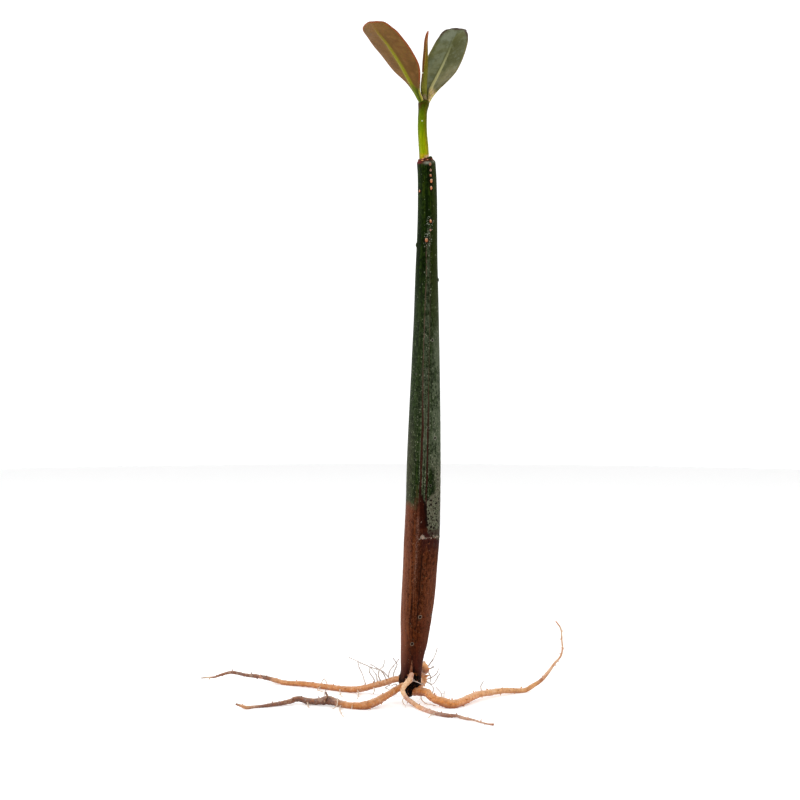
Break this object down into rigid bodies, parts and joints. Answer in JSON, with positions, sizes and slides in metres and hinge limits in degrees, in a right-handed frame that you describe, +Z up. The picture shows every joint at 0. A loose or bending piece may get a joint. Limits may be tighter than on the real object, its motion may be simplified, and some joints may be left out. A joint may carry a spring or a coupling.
{
  "type": "red mangrove seedling",
  "caption": "Bare-root red mangrove seedling: long green and red-brown hypocotyl standing on spread roots, with a short shoot, a pair of leaves and a leaf bud.",
  "frame": {"origin": "middle of the bounding box at the level of the surface that the roots stand on; the foot of the hypocotyl is 13 mm to the right of it", "axes": "+Z up along the plant, +X to the right and +Y to the back as the picture shows it"},
  "size_m": [0.1586, 0.1125, 0.2845],
  "materials": {
    "hypocotyl_skin": "satin",
    "stem_skin": "satin",
    "leaf_under": "satin",
    "leaf_upper": "gloss",
    "bud_skin": "satin",
    "root_pale": "matte",
    "root_bark": "matte"
  },
  "bodies": {
    "root": {"hypocotyl": "hypocotyl_skin", "stem": "stem_skin", "leaf_left": "leaf_under", "leaf_right": "leaf_upper", "leaf_bud": "bud_skin", "root_front": "root_pale", "root_left_front": "root_bark", "root_left_back": "root_bark", "root_right": "root_bark", "root_back": "root_bark"}
  },
  "joints": []
}
